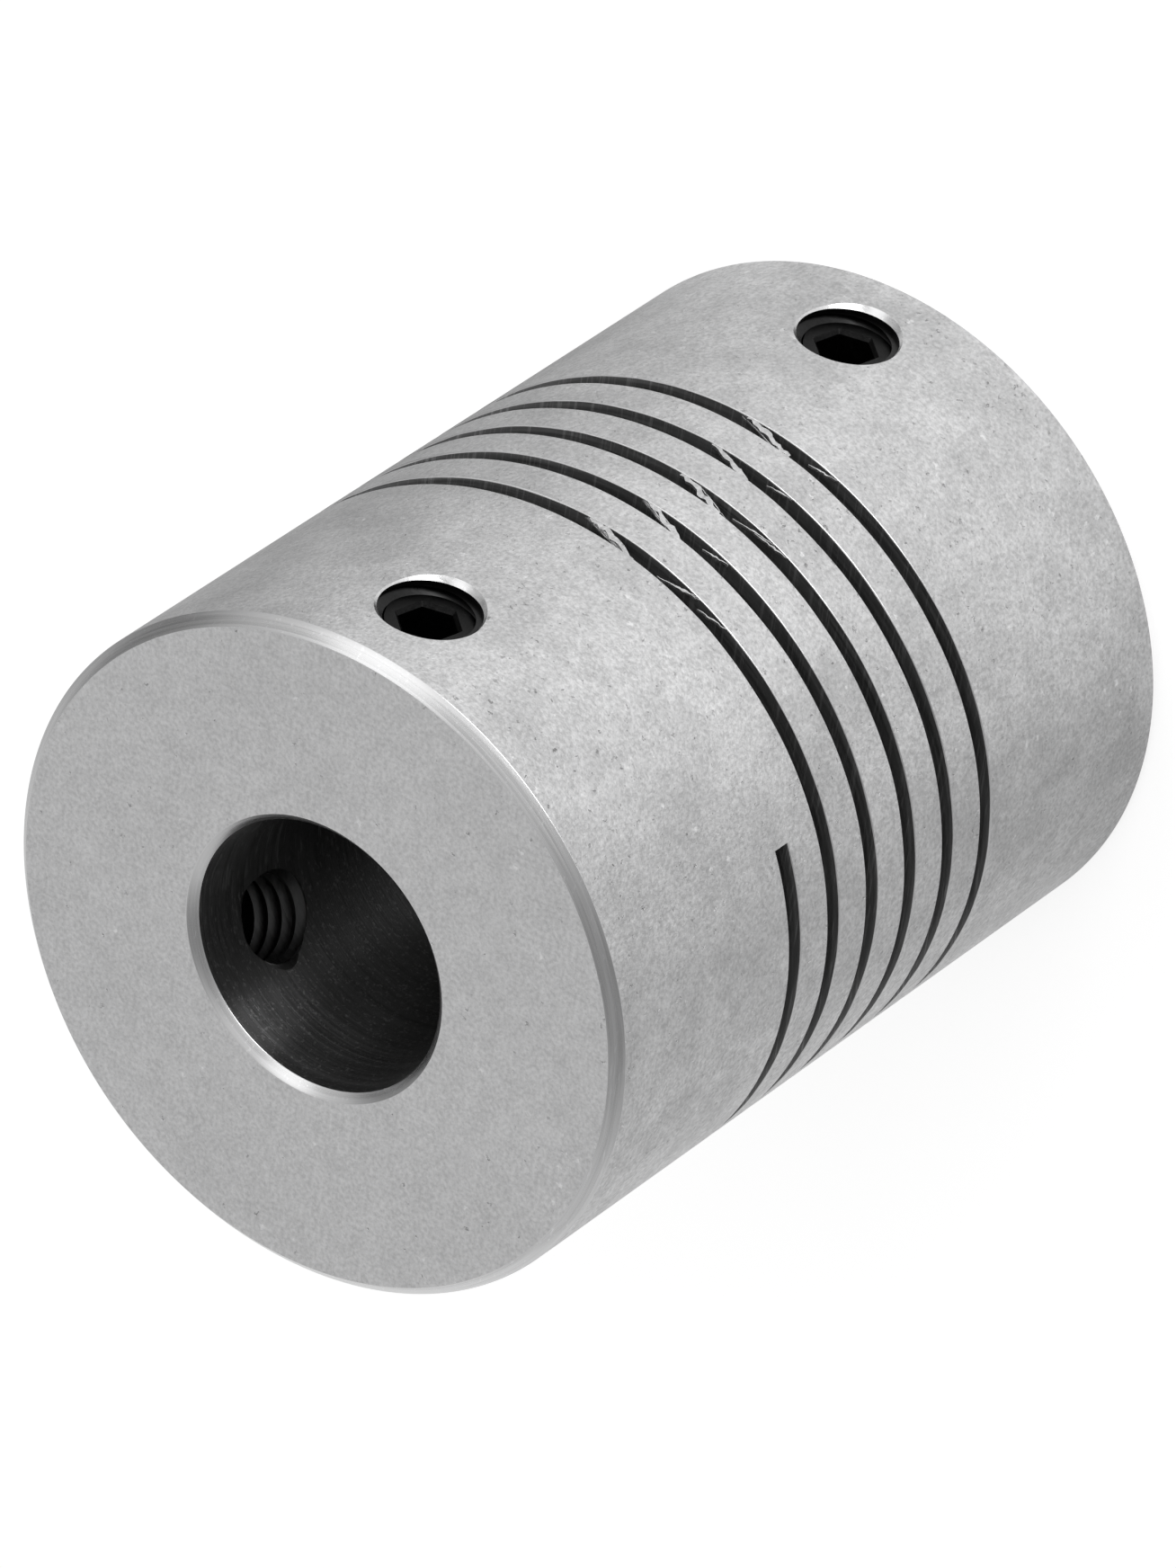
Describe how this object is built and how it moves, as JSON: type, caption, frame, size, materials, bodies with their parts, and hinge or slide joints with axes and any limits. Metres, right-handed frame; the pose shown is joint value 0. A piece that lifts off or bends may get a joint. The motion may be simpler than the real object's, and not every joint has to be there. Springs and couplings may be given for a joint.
{
  "type": "shaft coupling",
  "caption": "Cylindrical flexible beam coupling with a helical slot through its wall, a straight bore and radial set screws in both hubs.",
  "frame": {"origin": "centre of the lower end face, on the shaft axis", "axes": "+Z along the shaft axis, +X towards the first set screw of each hub"},
  "size_m": [0.02, 0.02, 0.026],
  "materials": {
    "body_aluminium": "tumbled satin, fine grain with small pits",
    "screw_steel": "black oxide"
  },
  "bodies": {
    "coupling": {"coupling_body": "body_aluminium"},
    "upper_screw_a": {"upper_set_screw_a": "screw_steel"},
    "upper_screw_b": {"upper_set_screw_b": "screw_steel"},
    "lower_screw_a": {"lower_set_screw_a": "screw_steel"},
    "lower_screw_b": {"lower_set_screw_b": "screw_steel"}
  },
  "joints": [
    {"name": "upper_screw_a_feed", "type": "slide", "parent": "coupling", "child": "upper_screw_a", "axis": [1, 0, 0], "range_m": [-0.0015, 0.0005]},
    {"name": "upper_screw_b_feed", "type": "slide", "parent": "coupling", "child": "upper_screw_b", "axis": [-0.5, 0.866, 0], "range_m": [-0.0015, 0.0005]},
    {"name": "lower_screw_a_feed", "type": "slide", "parent": "coupling", "child": "lower_screw_a", "axis": [1, 0, 0], "range_m": [-0.0015, 0.0005]},
    {"name": "lower_screw_b_feed", "type": "slide", "parent": "coupling", "child": "lower_screw_b", "axis": [-0.5, 0.866, 0], "range_m": [-0.0015, 0.0005]}
  ]
}
